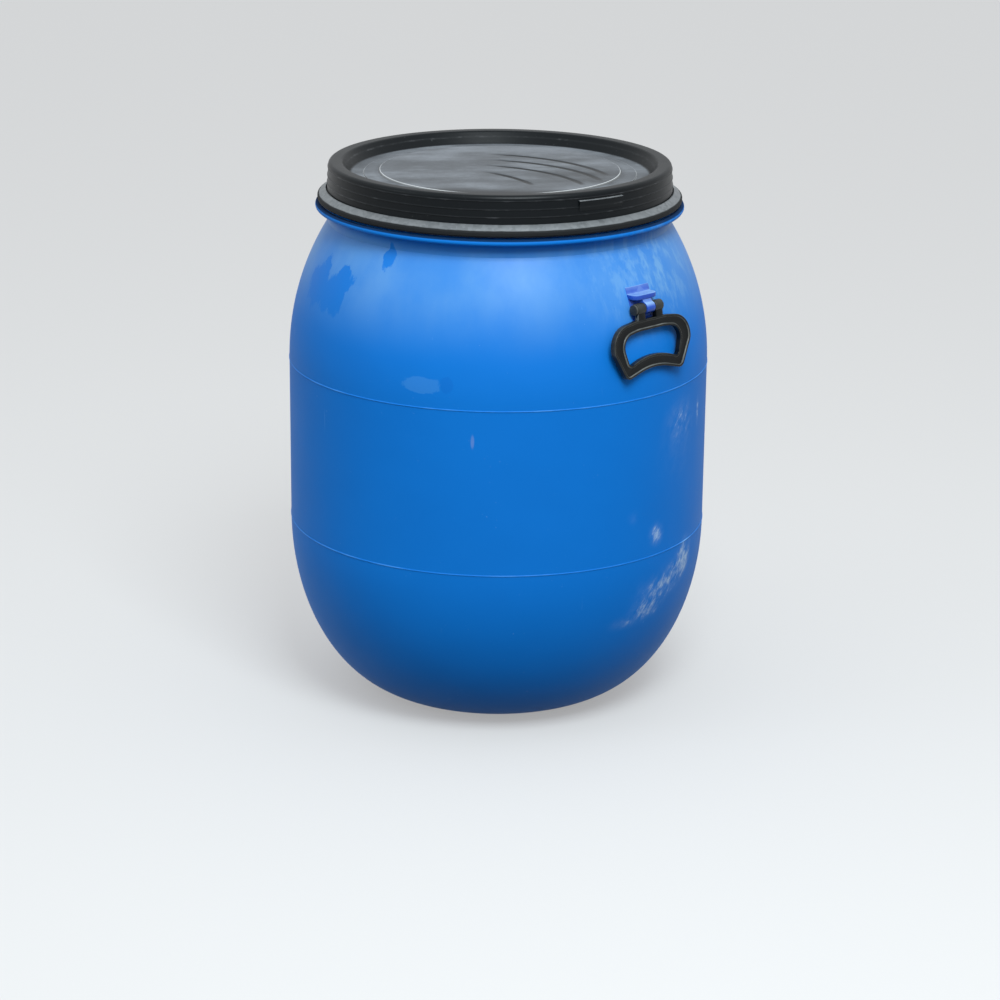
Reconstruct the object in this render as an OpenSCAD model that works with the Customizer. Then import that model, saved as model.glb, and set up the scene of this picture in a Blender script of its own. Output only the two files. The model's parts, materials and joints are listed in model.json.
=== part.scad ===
// Open-head plastic drum with a lift-off lid, a steel lever closing ring and two swing handles.
// Millimetres. Origin at the centre of the base on the floor, +Z up.
// The handles are on +X and -X. The ring's latch is on +Y, with its lever towards -X.

/* [Drum] */
// Height from the floor to the top of the lid
total_h = 756; // [640:1:920]
// Outer radius of the straight wall
body_r = 291.5; // [275:0.5:350]
// Thickness of the blow-moulded wall
wall = 4.5; // [3.5:0.1:6]
// Height of the rounded lower end
lower_h = 252; // [200:1:280]
// Height of the rounded shoulder
shoulder_h = 191.5; // [170:0.5:230]
// Outer radius of the flat ring that the drum stands on
foot_r = 130; // [110:1:180]
// Width of the flat ring that the drum stands on
foot_w = 20; // [12:1:30]
// Height of the dished centre of the base above the floor
foot_recess = 8; // [4:0.5:12]
// Height that the fine mould lines stand out from the wall
mould_line = 0.6; // [0.3:0.1:1]

/* [Mouth] */
// Inner radius of the mouth
mouth_r = 228; // [190:1:240]
// Width of the rim flange that the closing ring grips
rim_w = 18.5; // [16:0.5:24]
// Height of the grooved rim above the handling lip
rim_h = 7.5; // [7:0.5:10]
// Thickness of the handling lip
lip_t = 8; // [6:0.5:10]
// How far the handling lip stands out past the rim flange
lip_out = 7.2; // [6:0.1:12]
// Height of the neck below the handling lip
neck_h = 19; // [12:0.5:26]

/* [Lid] */
// Height of the lid above the rim
lid_h = 48; // [42:1:60]
// Thickness of the lid's moulded wall
lid_t = 4; // [3:0.5:5]
// Width of the raised ridge round the lid
ridge_w = 31; // [26:1:40]
// Depth of the dish inside the ridge
dish_d = 17; // [12:1:22]
// Width of the flat ledge at the foot of the ridge
ledge_w = 19.4; // [14:0.2:26]
// Height of the raised middle disc above the ledge
disc_rise = 5; // [3:0.5:6]
// Depth that the locating skirt reaches into the mouth
skirt_d = 11; // [8:1:16]
// Width of the gasket
gasket_w = 10; // [8:0.5:11]
// Thickness of the gasket
gasket_t = 3; // [2:0.5:4]

/* [Closing ring] */
// Thickness of the ring's steel
steel = 1.5; // [1.2:0.1:2]
// Width of the split between the ring's two ends
ring_gap = 24; // [16:1:28]
// Length of the lever from its pivot
lever_len = 150; // [110:1:190]
// Depth of the lever's channel
lever_d = 14.5; // [14:0.5:18]
// Diameter of the bail's wire
wire_d = 3.5; // [3:0.1:4]
// Radius of the lever's pivot pin
lever_pin_r = 2.5; // [2:0.1:2.8]
// Distance along the ring from the lever's pivot to the bail's pivot
throw = 17.8; // [17:0.2:22]

/* [Handles] */
// Width of a handle
handle_w = 147; // [130:1:165]
// Depth of a handle from its top edge to its lower corners
handle_h = 76; // [66:1:90]
// Width of the two side bars of a handle
side_bar = 15; // [12:1:20]
// Thickness of a handle
handle_t = 8.5; // [7.5:0.5:11]
// Radius of a handle's pivot pin
pin_r = 4; // [3:0.1:5]
// Radius of a handle's knuckles
knuckle_r = 7.8; // [7:0.1:8.4]
// Distance of the handle's pivot from the wall of the drum
pivot_out = 9.8; // [9.6:0.1:14]
// Height of the handle's pivot above the foot of the shoulder
pivot_up = 119; // [100:0.5:128]
// Width of the shelf over a handle's knuckles
shelf_w = 44; // [38:1:56]

/* [Hidden] */
$fn = 96;

free_gap = 0.3;                 // between faces of different bodies
seat_gap = 0.15;                // between a fixed insert and its pocket
run_gap = 0.08;                 // radial clearance of a turning hole
fix_gap = 0.03;                 // radial clearance of a pin in a hole that holds it

// Heights from the lid down
rim_z = total_h - lid_h;
lip_top = rim_z - rim_h;
lip_low = lip_top - lip_t;
neck_z = lip_low - neck_h;
shoulder_z = neck_z - shoulder_h;

// Radii of the mouth
throat = 3.5;                   // the neck's bore is this much wider than the mouth
neck_r = mouth_r + throat + wall;
groove_r = mouth_r + 7;         // root of the groove under the rim flange
rim_r = mouth_r + rim_w;
lip_r = rim_r + lip_out;
lip_round = 1.5;

// The shoulder is an arc that leaves the straight wall without a corner and ends at the neck
shoulder_arc = (pow(body_r - neck_r, 2) + pow(shoulder_h, 2)) / (2 * (body_r - neck_r));

// Outer radius of the wall at a height, from the floor to the neck
function wall_r(z) =
    z < lower_h ? foot_r + (body_r - foot_r) * sqrt(1 - pow((lower_h - z) / lower_h, 2))
    : z < shoulder_z ? body_r
    : body_r - shoulder_arc + sqrt(pow(shoulder_arc, 2) - pow(z - shoulder_z, 2));

// Side of the rounded lower end, a quarter of an ellipse, this far inside the outer surface
function lower_side(inset) = [
    for (a = [0 : 5 : 90])
        [foot_r + (body_r - foot_r - inset) * sin(a), lower_h - (lower_h - inset) * cos(a)]
];
// Side of the shoulder, this far inside the outer surface
function shoulder_side(inset) = [
    for (a = [0 : 1 / 16 : 1])
        let (turn = a * asin(shoulder_h / shoulder_arc))
            [body_r - shoulder_arc + (shoulder_arc - inset) * cos(turn),
             shoulder_z + (shoulder_arc - inset) * sin(turn)]
];
function reversed(list) = [for (i = [len(list) - 1 : -1 : 0]) list[i]];
// A fine raised line round the wall at a height
function raised_line(r, z) = [
    [r, z - 1.2], [r + mould_line, z - 0.4], [r + mould_line, z + 0.4], [r, z + 1.2]
];
function unit(v) = v / norm(v);
function xy(corner) = [corner[0], corner[1]];
function neighbour(corners, i, step) = xy(corners[(i + step + len(corners)) % len(corners)]);

// A closed outline whose corners, each given as [x, y, radius], are rounded by arcs
function rounded(corners, steps = 8) = [
    for (i = [0 : len(corners) - 1])
        let (
            p = xy(corners[i]),
            back = unit(neighbour(corners, i, -1) - p),
            on = unit(neighbour(corners, i, 1) - p),
            half = acos(back * on) / 2,
            centre = p + unit(back + on) * corners[i][2] / sin(half),
            first = p + back * corners[i][2] / tan(half) - centre,
            last = p + on * corners[i][2] / tan(half) - centre
        )
            for (k = [0 : steps])
                centre + unit(first * (1 - k / steps) + last * k / steps) * corners[i][2]
];
// The corners of an outline moved in by a distance, or out by a negative one.
// A positive turn is a corner that points out of the outline.
function moved_in(corners, d) = [
    for (i = [0 : len(corners) - 1])
        let (
            p = xy(corners[i]),
            back = unit(neighbour(corners, i, -1) - p),
            on = unit(neighbour(corners, i, 1) - p),
            half = acos(back * on) / 2,
            turn = sign(back[1] * on[0] - back[0] * on[1]),
            shifted = p + unit(back + on) * turn * d / sin(half)
        )
            [shifted[0], shifted[1], corners[i][2] - turn * d]
];

// A ring drawn in section, from one angle through another
module band_piece(section, from, sweep) {
    rotate([0, 0, from])
        rotate_extrude(angle = sweep)
            polygon(section);
}
// A solid rectangle in section, for band_piece
function box_section(r0, r1, z0, z1) = [[r0, z0], [r1, z0], [r1, z1], [r0, z1]];

// ---- Closing ring in section ----
leg_top_deg = 35.5;             // slope of the leg over the lid's flange
leg_low_deg = 20.6;             // slope of the leg under the rim flange
flange_edge_t = 2;              // edge of the lid's flange
flange_lift = 1.1;              // lid's flange above the rim, with the gasket between them
rim_edge_t = 3;                 // edge of the rim flange
web_gap = 2.7;                  // between the flanges and the ring's web
band_in = rim_r + web_gap;
band_out = band_in + steel;
lid_wall_low = rim_r - 9.1;     // outer radius of the lid's wall at its foot
leg_top_tip = lid_wall_low + 0.7;
leg_low_tip = rim_r - 4;
flange_edge_z = rim_z + flange_lift + flange_edge_t;
function flange_top(r) = flange_edge_z + (rim_r - r) * tan(leg_top_deg);
function rim_under(r) = rim_z - rim_edge_t - (rim_r - r) * tan(leg_low_deg);
function leg_top_in(r) = flange_top(r) + free_gap / cos(leg_top_deg);
function leg_low_in(r) = rim_under(r) - free_gap / cos(leg_low_deg);
ring_section = [
    [leg_top_tip, leg_top_in(leg_top_tip)],
    [band_in, leg_top_in(band_in)],
    [band_in, leg_low_in(band_in)],
    [leg_low_tip, leg_low_in(leg_low_tip)],
    [leg_low_tip + steel * sin(leg_low_deg), leg_low_in(leg_low_tip) - steel * cos(leg_low_deg)],
    [band_out, leg_low_in(band_out) - steel / cos(leg_low_deg)],
    [band_out, leg_top_in(band_out) + steel / cos(leg_top_deg)],
    [leg_top_tip + steel * sin(leg_top_deg), leg_top_in(leg_top_tip) + steel * cos(leg_top_deg)]
];

// ---- Latch ----
gap_half = asin(ring_gap / 2 / band_in);
latch_z = (leg_top_in(band_out) + leg_low_in(band_out)) / 2;
ear_half = 6.5;                 // half height of the two brackets
flange_gap = 0.4;               // between an ear, a flange, a pin head and a bail leg
lever_in_half = ear_half + flange_gap;
lever_half = lever_in_half + steel;
pin_head_t = 0.8;
wire_r = wire_d / 2;
bail_half = lever_half + pin_head_t + flange_gap + wire_r;
bail_y = lip_r + wire_r + 1.55;
over_centre = 6.5;              // the bail's line runs this far inside the lever's pivot
pivot_x = 22;
pivot_y = bail_y + over_centre;
bail_x = pivot_x + throw;
bar_x = -30;
bar_gap = 1.6;                  // slack between the bail's cross bar and its catch
lever_in = bail_y - 1.5;
lever_out = lever_in + lever_d;
plate_in = band_out + 0.05;
plate_out = plate_in + steel;
pivot_deg = atan(pivot_x / pivot_y);
lever_deg = lever_len / lever_in * 180 / PI;
web_start = 7;                  // the lever's web starts this far along from its pivot
tab_len = 18;
tab_half = 5;
tab_hole_r = 3;
rivet_r = 1.5;
rivet_head_r = 3.2;
rivet_inner_r = 1.8;
rivet_degs = [11.5, 14];
plate_end_deg = 15.4;
plate_start_deg = gap_half + 0.3;

// ---- Handles ----
pivot_z = shoulder_z + pivot_up;
pivot_rr = wall_r(pivot_z) + pivot_out;
handle_front = 6;               // the handle's face in front of its pivot's plane
handle_back = handle_t - handle_front;
handle_top = 14;                // top edge below the pivot
top_bar = 14.5;
top_run = 28;                   // half of the top edge's level middle
top_fall = 6;                   // the top edge falls by this much towards each side
grip_w = handle_w - 2 * side_bar;
side_taper = 20.5;              // each side leans in by this much below its widest place
opening_taper = 12;             // and each side of the opening by this much
grip_rise = 14;                 // the grip's middle is drawn up by this before it is rounded
opening_rise = 18.5;            // and the opening's lower edge by this
arch_r = 107;
grip_d = 17;                    // depth of the grip
grip_slope = atan(grip_rise / (handle_w / 2 - side_taper));
handle_low = handle_top + handle_h - grip_rise + arch_r * (1 / cos(grip_slope) - 1);
// The handle leans out from its pivot until the middle of its grip meets the wall
handle_lean = max([
    for (down = [handle_low - grip_d : 1 : handle_low])
        asin((wall_r(pivot_z - down) + free_gap + handle_back - pivot_rr) / down)
]);
rib_w = 3;
rib_h = 2;
knuckle_in = 9.5;
knuckle_out = 24;
stem_half = 8;
stem_drop = 13;
shelf_under = 11.5;             // underside of the shelf above the pivot
shelf_t = 6;
shelf_reach = -1;               // front of the shelf past the pivot
plate_half = 22;
plate_low = 18;
plate_high = 26;
plate_deep = 2.4;
plate_proud = 0.5;
pin_head_r = 7;
pin_head_l = 3;
pin_tip_l = 5;
barb = 1;

// Corners of the frame and of its opening: across, down from the pivot, and radius
outer_corners = [
    [-handle_w / 2, handle_top + top_fall, 30],
    [-top_run, handle_top, 80],
    [top_run, handle_top, 80],
    [handle_w / 2, handle_top + top_fall, 30],
    [handle_w / 2, handle_top + handle_h * 0.5, 14],
    [handle_w / 2 - side_taper, handle_top + handle_h, 9],
    [0, handle_top + handle_h - grip_rise, arch_r],
    [side_taper - handle_w / 2, handle_top + handle_h, 9],
    [-handle_w / 2, handle_top + handle_h * 0.5, 14]
];
inner_low = handle_top + handle_h - grip_d;
inner_corners = [
    [-grip_w / 2, handle_top + top_bar + top_fall - 1, 17],
    [4 - top_run, handle_top + top_bar, 60],
    [top_run - 4, handle_top + top_bar, 60],
    [grip_w / 2, handle_top + top_bar + top_fall - 1, 17],
    [grip_w / 2 - opening_taper, inner_low, 6],
    [0, inner_low - opening_rise, arch_r],
    [opening_taper - grip_w / 2, inner_low, 6]
];

// A slab of the wall's own curve between two heights, from so far inside it to so far outside
module wall_slab(z0, z1, inside, outside) {
    heights = [for (i = [0 : 8]) z0 + (z1 - z0) * i / 8];
    rotate_extrude()
        polygon(concat(
            [for (z = heights) [wall_r(z) + outside, z]],
            [for (z = reversed(heights)) [wall_r(z) - inside, z]]
        ));
}
// The slab cut to the lug's plate, grown all round by a clearance
module lug_plate(grow, outside) {
    intersection() {
        wall_slab(pivot_z - plate_low - grow, pivot_z + plate_high + grow, plate_deep + grow, outside);
        translate([0, -plate_half - grow, 0])
            cube([body_r * 2, 2 * (plate_half + grow), total_h]);
    }
}
// A cylinder along Y through the handle's pivot, from one place to another
module along_pivot(r, y0, y1) {
    translate([pivot_rr, y0, pivot_z])
        rotate([-90, 0, 0])
            cylinder(r = r, h = y1 - y0);
}

module drum_body() {
    outer = concat(
        [[0, foot_recess], [foot_r - foot_w - foot_recess * 1.5, foot_recess], [foot_r - foot_w, 0]],
        lower_side(0),
        raised_line(body_r, lower_h + 1.3),
        raised_line(body_r, shoulder_z - 1.3),
        shoulder_side(0),
        [[neck_r, lip_low - 6], [neck_r + 2, lip_low - 2.5], [neck_r + 6, lip_low],
         [lip_r - lip_round, lip_low], [lip_r, lip_low + lip_round],
         [lip_r, lip_top - lip_round], [lip_r - lip_round, lip_top],
         [groove_r, lip_top], [groove_r, max(lip_top + 0.1, rim_under(groove_r))],
         [rim_r, rim_z - rim_edge_t], [rim_r, rim_z - 1], [rim_r - 1, rim_z], [mouth_r, rim_z]]
    );
    inner = concat(
        [[mouth_r, lip_low], [mouth_r + throat, lip_low - 4]],
        reversed(shoulder_side(wall)),
        reversed(lower_side(wall)),
        [[foot_r - foot_w, wall], [foot_r - foot_w - foot_recess * 1.5, foot_recess + wall],
         [0, foot_recess + wall]]
    );
    color([0.05, 0.38, 0.75])
        difference() {
            rotate_extrude()
                polygon(concat(outer, inner));
            for (side = [0, 180])
                rotate([0, 0, side])
                    lug_plate(seat_gap, 6);
        }
}

// Lug on +X: a plate let into the wall, a stem that holds the pin and a shelf over the knuckles
module handle_lug() {
    shelf_front = pivot_rr + shelf_reach;
    shelf_back = wall_r(pivot_z) - 20;
    difference() {
        union() {
            lug_plate(0, plate_proud);
            difference() {
                union() {
                    translate([0, stem_half, 0])
                        rotate([90, 0, 0])
                            linear_extrude(2 * stem_half)
                                polygon([
                                    [shelf_back, pivot_z - stem_drop],
                                    [wall_r(pivot_z - stem_drop) + 3, pivot_z - stem_drop],
                                    [pivot_rr, pivot_z - knuckle_r],
                                    [pivot_rr + knuckle_r, pivot_z],
                                    [shelf_front - 2, pivot_z + shelf_under + 1],
                                    [shelf_back, pivot_z + shelf_under + 1]
                                ]);
                    along_pivot(knuckle_r, -stem_half, stem_half);
                    translate([0, 0, pivot_z + shelf_under])
                        linear_extrude(shelf_t)
                            polygon(rounded([
                                [shelf_back, -shelf_w / 2, 1],
                                [shelf_front, -shelf_w / 2, 9],
                                [shelf_front, shelf_w / 2, 9],
                                [shelf_back, shelf_w / 2, 1]
                            ]));
                }
                wall_slab(pivot_z - plate_low - 8, pivot_z + plate_high + 8, 60, 0.2);
            }
        }
        along_pivot(pin_r + fix_gap, -stem_half - 1, stem_half + 1);
    }
}
module handle_lug_right() {
    color([0.08, 0.13, 0.62])
        handle_lug();
}
module handle_lug_left() {
    color([0.08, 0.13, 0.62])
        rotate([0, 0, 180])
            handle_lug();
}

// Moulded pin: a round head, a plain shank and a barbed tip
module handle_pin() {
    end = knuckle_out + free_gap;
    along_pivot(pin_r, -end - 1, end);
    along_pivot(pin_head_r, -end - pin_head_l, -end);
    translate([pivot_rr, end, pivot_z])
        rotate([-90, 0, 0])
            rotate_extrude()
                polygon([
                    [0, -1], [pin_r, -1], [pin_r, 0], [pin_r + barb, 0], [pin_r + barb, 1.5],
                    [pin_r - 1.4, pin_tip_l], [0, pin_tip_l]
                ]);
}
module handle_pin_right() {
    color([0.08, 0.08, 0.08])
        handle_pin();
}
module handle_pin_left() {
    color([0.08, 0.08, 0.08])
        rotate([0, 0, 180])
            handle_pin();
}

// Handle on +X, hanging from its pivot with its grip against the wall
module handle() {
    translate([pivot_rr, 0, pivot_z])
        rotate([0, -handle_lean, 0])
            translate([-pivot_rr, 0, -pivot_z]) {
                difference() {
                    union() {
                        // The outline lies in the plane of the pivot, with its y downwards
                        translate([pivot_rr - handle_back, 0, pivot_z])
                            rotate([90, 0, 90])
                                linear_extrude(handle_t)
                                    mirror([0, 1])
                                        difference() {
                                            polygon(rounded(outer_corners));
                                            polygon(rounded(inner_corners));
                                        }
                        for (side = [-1, 1]) {
                            near = side > 0 ? knuckle_in : -knuckle_out;
                            along_pivot(knuckle_r, near, near + knuckle_out - knuckle_in);
                            translate([pivot_rr - handle_back, near, pivot_z - handle_top - 1])
                                cube([handle_t, knuckle_out - knuckle_in, handle_top + 1]);
                        }
                    }
                    for (face = [pivot_rr - handle_back - 1, pivot_rr + handle_front - rib_h])
                        translate([face, 0, pivot_z])
                            rotate([90, 0, 90])
                                linear_extrude(rib_h + (face < pivot_rr ? 1 : 2))
                                    mirror([0, 1])
                                        difference() {
                                            polygon(rounded(moved_in(outer_corners, rib_w)));
                                            polygon(rounded(moved_in(inner_corners, -rib_w)));
                                        }
                    along_pivot(pin_r + run_gap, -knuckle_out - 1, knuckle_out + 1);
                }
            }
}
module handle_right() {
    color([0.10, 0.10, 0.09])
        handle();
}
module handle_left() {
    color([0.10, 0.10, 0.09])
        rotate([0, 0, 180])
            handle();
}

module lid() {
    wall_top = lid_wall_low - 1.8;
    foot_out = wall_top - ridge_w + 1.9;
    ledge_z = total_h - dish_d;
    ledge_in = foot_out - ledge_w;
    disc_r = ledge_in - 21.7;
    disc_z = ledge_z + disc_rise;
    skirt_out = mouth_r - 1;
    gasket_mid = (mouth_r + rim_r) / 2 - 1.2;
    slot_half = gasket_w / 2 + free_gap;
    flange_low = rim_z + flange_lift;
    slot_top = rim_z + free_gap + gasket_t;
    foot_top = slot_top + 3;
    ledge_out = 4;
    top = [
        [rim_r, flange_low], [rim_r, flange_edge_z],
        [lid_wall_low, flange_top(lid_wall_low)],
        [wall_top, total_h - 5], [wall_top - 1.6, total_h - 1.6], [wall_top - 5, total_h],
        [foot_out + 13, total_h], [foot_out + 11, total_h - 0.8], [foot_out + 9.7, total_h - 3],
        [foot_out + 1, ledge_z + 1.2], [foot_out - 0.6, ledge_z],
        [ledge_in, ledge_z], [ledge_in, ledge_z + 1],
        [disc_r + 5, ledge_z + 1.8], [disc_r + 1, disc_z - 1.4], [disc_r - 0.6, disc_z], [0, disc_z]
    ];
    under = [
        [0, disc_z - lid_t], [disc_r - 3, disc_z - lid_t], [disc_r + 3, ledge_z + 1 - lid_t],
        [ledge_in - 2, ledge_z + 1 - lid_t], [ledge_in - 1, ledge_z - lid_t],
        [foot_out + 2, ledge_z - lid_t], [foot_out + 12, total_h - 3 - lid_t],
        [foot_out + 14, total_h - lid_t], [wall_top - 6, total_h - lid_t],
        [wall_top - lid_t, total_h - 7], [lid_wall_low - lid_t, foot_top],
        [skirt_out - lid_t, foot_top], [skirt_out - lid_t, rim_z - skirt_d],
        [skirt_out, rim_z - skirt_d], [skirt_out, flange_low],
        [gasket_mid - slot_half, flange_low], [gasket_mid - slot_half, slot_top],
        [gasket_mid + slot_half, slot_top], [gasket_mid + slot_half, flange_low]
    ];
    color([0.09, 0.09, 0.10]) {
        rotate_extrude()
            polygon(concat(top, under));
        // A finger ledge on each side of the wall, where the lid is pulled up
        for (side = [-18.5, 161.5])
            band_piece(
                [[wall_top - 2, total_h - 27], [wall_top + 1.6, total_h - 25],
                 [wall_top + ledge_out, total_h - 12], [wall_top + ledge_out, total_h - 10.4],
                 [wall_top - 2, total_h - 9.4]],
                side, 17
            );
    }
}
module lid_gasket() {
    gasket_mid = (mouth_r + rim_r) / 2 - 1.2;
    gasket_low = rim_z + free_gap;
    color([0.2, 0.2, 0.2])
        band_piece(
            box_section(gasket_mid - gasket_w / 2, gasket_mid + gasket_w / 2, gasket_low, gasket_low + gasket_t),
            0, 360
        );
}

// The split band; its ends face each other under the latch on +Y
module ring_band() {
    color([0.72, 0.73, 0.74])
        difference() {
            band_piece(ring_section, 90 + gap_half, 360 - 2 * gap_half);
            for (deg = rivet_degs, side = [-1, 1])
                rivet_hole(side * deg);
        }
}
// A hole for a rivet at an angle from +Y
module rivet_hole(deg) {
    rotate([0, 0, 90 + deg])
        translate([band_in - 5, 0, latch_z])
            rotate([0, 90, 0])
                cylinder(r = rivet_r + fix_gap, h = 10, $fn = 32);
}
// The foot plate that a bracket is riveted through, on one side of the split
module foot_plate(side) {
    difference() {
        band_piece(
            box_section(plate_in, plate_out, latch_z - ear_half, latch_z + ear_half),
            90 + (side > 0 ? plate_start_deg : -plate_end_deg),
            plate_end_deg - plate_start_deg
        );
        for (deg = rivet_degs)
            rivet_hole(side * deg);
    }
}
module fulcrum_bracket() {
    ear_r = 4.7;
    spread = 9;
    color([0.66, 0.67, 0.68])
        mirror([1, 0, 0]) difference() {
            union() {
                foot_plate(-1);
                for (z = [latch_z - ear_half, latch_z + ear_half - steel])
                    translate([0, 0, z])
                        linear_extrude(steel) {
                            polygon([
                                [pivot_x - spread, sqrt(pow(plate_out, 2) - pow(pivot_x - spread, 2)) - 0.8],
                                [pivot_x + spread, sqrt(pow(plate_out, 2) - pow(pivot_x + spread, 2)) - 0.8],
                                [pivot_x + ear_r, pivot_y],
                                [pivot_x - ear_r, pivot_y]
                            ]);
                            translate([pivot_x, pivot_y])
                                circle(r = ear_r);
                        }
            }
            translate([pivot_x, pivot_y, latch_z - ear_half - 1])
                cylinder(r = lever_pin_r + fix_gap, h = 2 * ear_half + 2);
        }
}
module catch_bracket() {
    tab_x = bar_x + wire_r + bar_gap;
    tab_t = 2;
    tab_top = bail_y + 3.5;
    root = sqrt(pow(plate_out, 2) - pow(tab_x, 2)) - 1;
    color([0.66, 0.67, 0.68]) mirror([1, 0, 0]) {
        foot_plate(1);
        translate([tab_x, root, latch_z - ear_half])
            cube([tab_t, tab_top - root, 2 * ear_half]);
    }
}
module ring_rivets() {
    head_t = 1.2;
    inner_t = 0.8;
    color([0.78, 0.78, 0.78])
        for (deg = rivet_degs, side = [-1, 1])
            rotate([0, 0, 90 + side * deg])
                translate([0, 0, latch_z])
                    rotate([0, 90, 0]) {
                        translate([0, 0, band_in - inner_t / 2])
                            cylinder(r = rivet_r, h = plate_out - band_in + inner_t, $fn = 32);
                        translate([0, 0, band_in - inner_t])
                            cylinder(r = rivet_inner_r, h = inner_t, $fn = 32);
                        translate([0, 0, plate_out])
                            cylinder(r1 = rivet_head_r, r2 = rivet_head_r - 1, h = head_t, $fn = 32);
                    }
}

// The lever: a curved channel that lies along the ring, with a holed tab at its tip
module lever() {
    low = latch_z - lever_half;
    end_deg = 90 - pivot_deg - lever_deg;
    web_deg = lever_deg - web_start / lever_in * 180 / PI;
    tab_deg = tab_len / lever_out * 180 / PI;
    color([0.70, 0.71, 0.72])
        mirror([1, 0, 0]) difference() {
            union() {
                for (z = [low, low + 2 * lever_half - steel]) {
                    band_piece(box_section(lever_in, lever_out, z, z + steel), end_deg, lever_deg);
                    translate([pivot_x, pivot_y, z])
                        cylinder(r = lever_out - norm([pivot_x, pivot_y]), h = steel);
                }
                band_piece(
                    box_section(lever_out - steel, lever_out, low, low + 2 * lever_half), end_deg, web_deg
                );
                band_piece(
                    box_section(lever_out - steel, lever_out, latch_z - tab_half, latch_z + tab_half),
                    end_deg - tab_deg, tab_deg + 1
                );
            }
            translate([pivot_x, pivot_y, low - 1])
                cylinder(r = lever_pin_r + run_gap, h = 2 * lever_half + 2);
            translate([bail_x, bail_y, low - 1])
                cylinder(r = wire_r + run_gap, h = 2 * lever_half + 2);
            rotate([0, 0, end_deg - tab_deg * 0.55])
                translate([lever_out - 6, 0, latch_z])
                    rotate([0, 90, 0])
                        cylinder(r = tab_hole_r, h = 12, $fn = 32);
        }
}
module lever_pin() {
    color([0.78, 0.78, 0.78])
        mirror([1, 0, 0]) translate([pivot_x, pivot_y, latch_z]) {
            translate([0, 0, -lever_half - pin_head_t / 2])
                cylinder(r = lever_pin_r, h = 2 * lever_half + pin_head_t);
            for (z = [-lever_half - pin_head_t, lever_half + 0.05])
                translate([0, 0, z])
                    cylinder(r = lever_pin_r + 1.6, h = pin_head_t - 0.05);
        }
}

// The wire bail: two legs, a cross bar behind the catch, and ends turned into the lever
module bail_link() {
    turned_in = lever_in_half - 1.4;
    color([0.74, 0.74, 0.75])
        mirror([1, 0, 0]) translate([0, bail_y, latch_z]) {
            for (side = [-1, 1]) {
                translate([bar_x, 0, side * bail_half])
                    rotate([0, 90, 0])
                        cylinder(r = wire_r, h = bail_x - bar_x, $fn = 32);
                for (x = [bar_x, bail_x])
                    translate([x, 0, side * bail_half])
                        sphere(r = wire_r, $fn = 32);
                translate([bail_x, 0, side > 0 ? turned_in : -bail_half])
                    cylinder(r = wire_r, h = bail_half - turned_in, $fn = 32);
            }
            translate([bar_x, 0, -bail_half])
                cylinder(r = wire_r, h = 2 * bail_half, $fn = 32);
        }
}

drum_body();
handle_lug_right();
handle_lug_left();
handle_pin_right();
handle_pin_left();
handle_right();
handle_left();
lid();
lid_gasket();
ring_band();
fulcrum_bracket();
catch_bracket();
ring_rivets();
lever();
lever_pin();
bail_link();
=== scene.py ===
# %% [markdown]
# # An open-head plastic drum
# The drum is a blue blow-moulded barrel with a black lift-off lid, a steel closing ring
# with a lever latch, and a black swing handle on each side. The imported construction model
# is loaded first. It fixes every size and place, and the pieces below are modelled on it.

# %% Load the frame
import json
import math

import bpy
from mathutils import Matrix, Vector


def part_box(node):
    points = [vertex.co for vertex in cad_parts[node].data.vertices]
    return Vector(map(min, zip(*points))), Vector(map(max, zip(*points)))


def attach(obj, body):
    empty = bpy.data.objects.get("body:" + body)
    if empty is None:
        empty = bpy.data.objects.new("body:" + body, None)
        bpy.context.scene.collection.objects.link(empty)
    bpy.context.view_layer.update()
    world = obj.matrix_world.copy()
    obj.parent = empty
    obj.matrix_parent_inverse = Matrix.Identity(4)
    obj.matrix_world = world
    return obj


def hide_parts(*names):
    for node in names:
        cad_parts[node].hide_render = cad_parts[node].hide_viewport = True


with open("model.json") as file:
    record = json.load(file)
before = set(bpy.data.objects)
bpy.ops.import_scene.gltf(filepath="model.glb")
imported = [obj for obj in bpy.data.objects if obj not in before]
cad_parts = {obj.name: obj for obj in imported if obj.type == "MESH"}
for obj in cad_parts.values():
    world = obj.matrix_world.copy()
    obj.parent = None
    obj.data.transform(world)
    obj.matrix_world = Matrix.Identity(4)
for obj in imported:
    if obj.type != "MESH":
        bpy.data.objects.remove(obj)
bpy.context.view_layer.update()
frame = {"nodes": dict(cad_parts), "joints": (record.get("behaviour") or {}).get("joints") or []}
MM = 0.001

# %% [markdown]
# ## The camera
# A long lens from four metres away, twice as high as the lid and looking down. A camera
# that isn't turned looks down its own -Z, so it is pitched up from that, turned about the
# vertical, and rolled by half a degree about its own axis.

# %% The camera
CAMERA_AT = (2.8693, -2.8134, 1.5579)
VIEW_TURN = 45.5
PITCH_DOWN = 17.815
ROLL = 0.5737
SENSOR_MM, LENS_MM = 36.0, 106.885
bpy.ops.object.camera_add()
camera = bpy.context.object
camera.data.sensor_width = SENSOR_MM
camera.data.lens = LENS_MM
camera.matrix_world = (
    Matrix.Translation(CAMERA_AT)
    @ Matrix.Rotation(math.radians(VIEW_TURN), 4, "Z")
    @ Matrix.Rotation(math.radians(90 - PITCH_DOWN), 4, "X")
    @ Matrix.Rotation(math.radians(ROLL), 4, "Z")
)
bpy.context.scene.camera = camera

# %% [markdown]
# ## Driving sizes
# The main sizes are read back from the construction model in millimetres. The others are
# offsets from them, so a changed drum would still get pieces that fit.

# %% Driving sizes
def box_mm(node):
    """The lowest and highest corner of a construction node, in millimetres."""
    low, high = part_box(node)
    return [c / MM for c in low], [c / MM for c in high]


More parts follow.
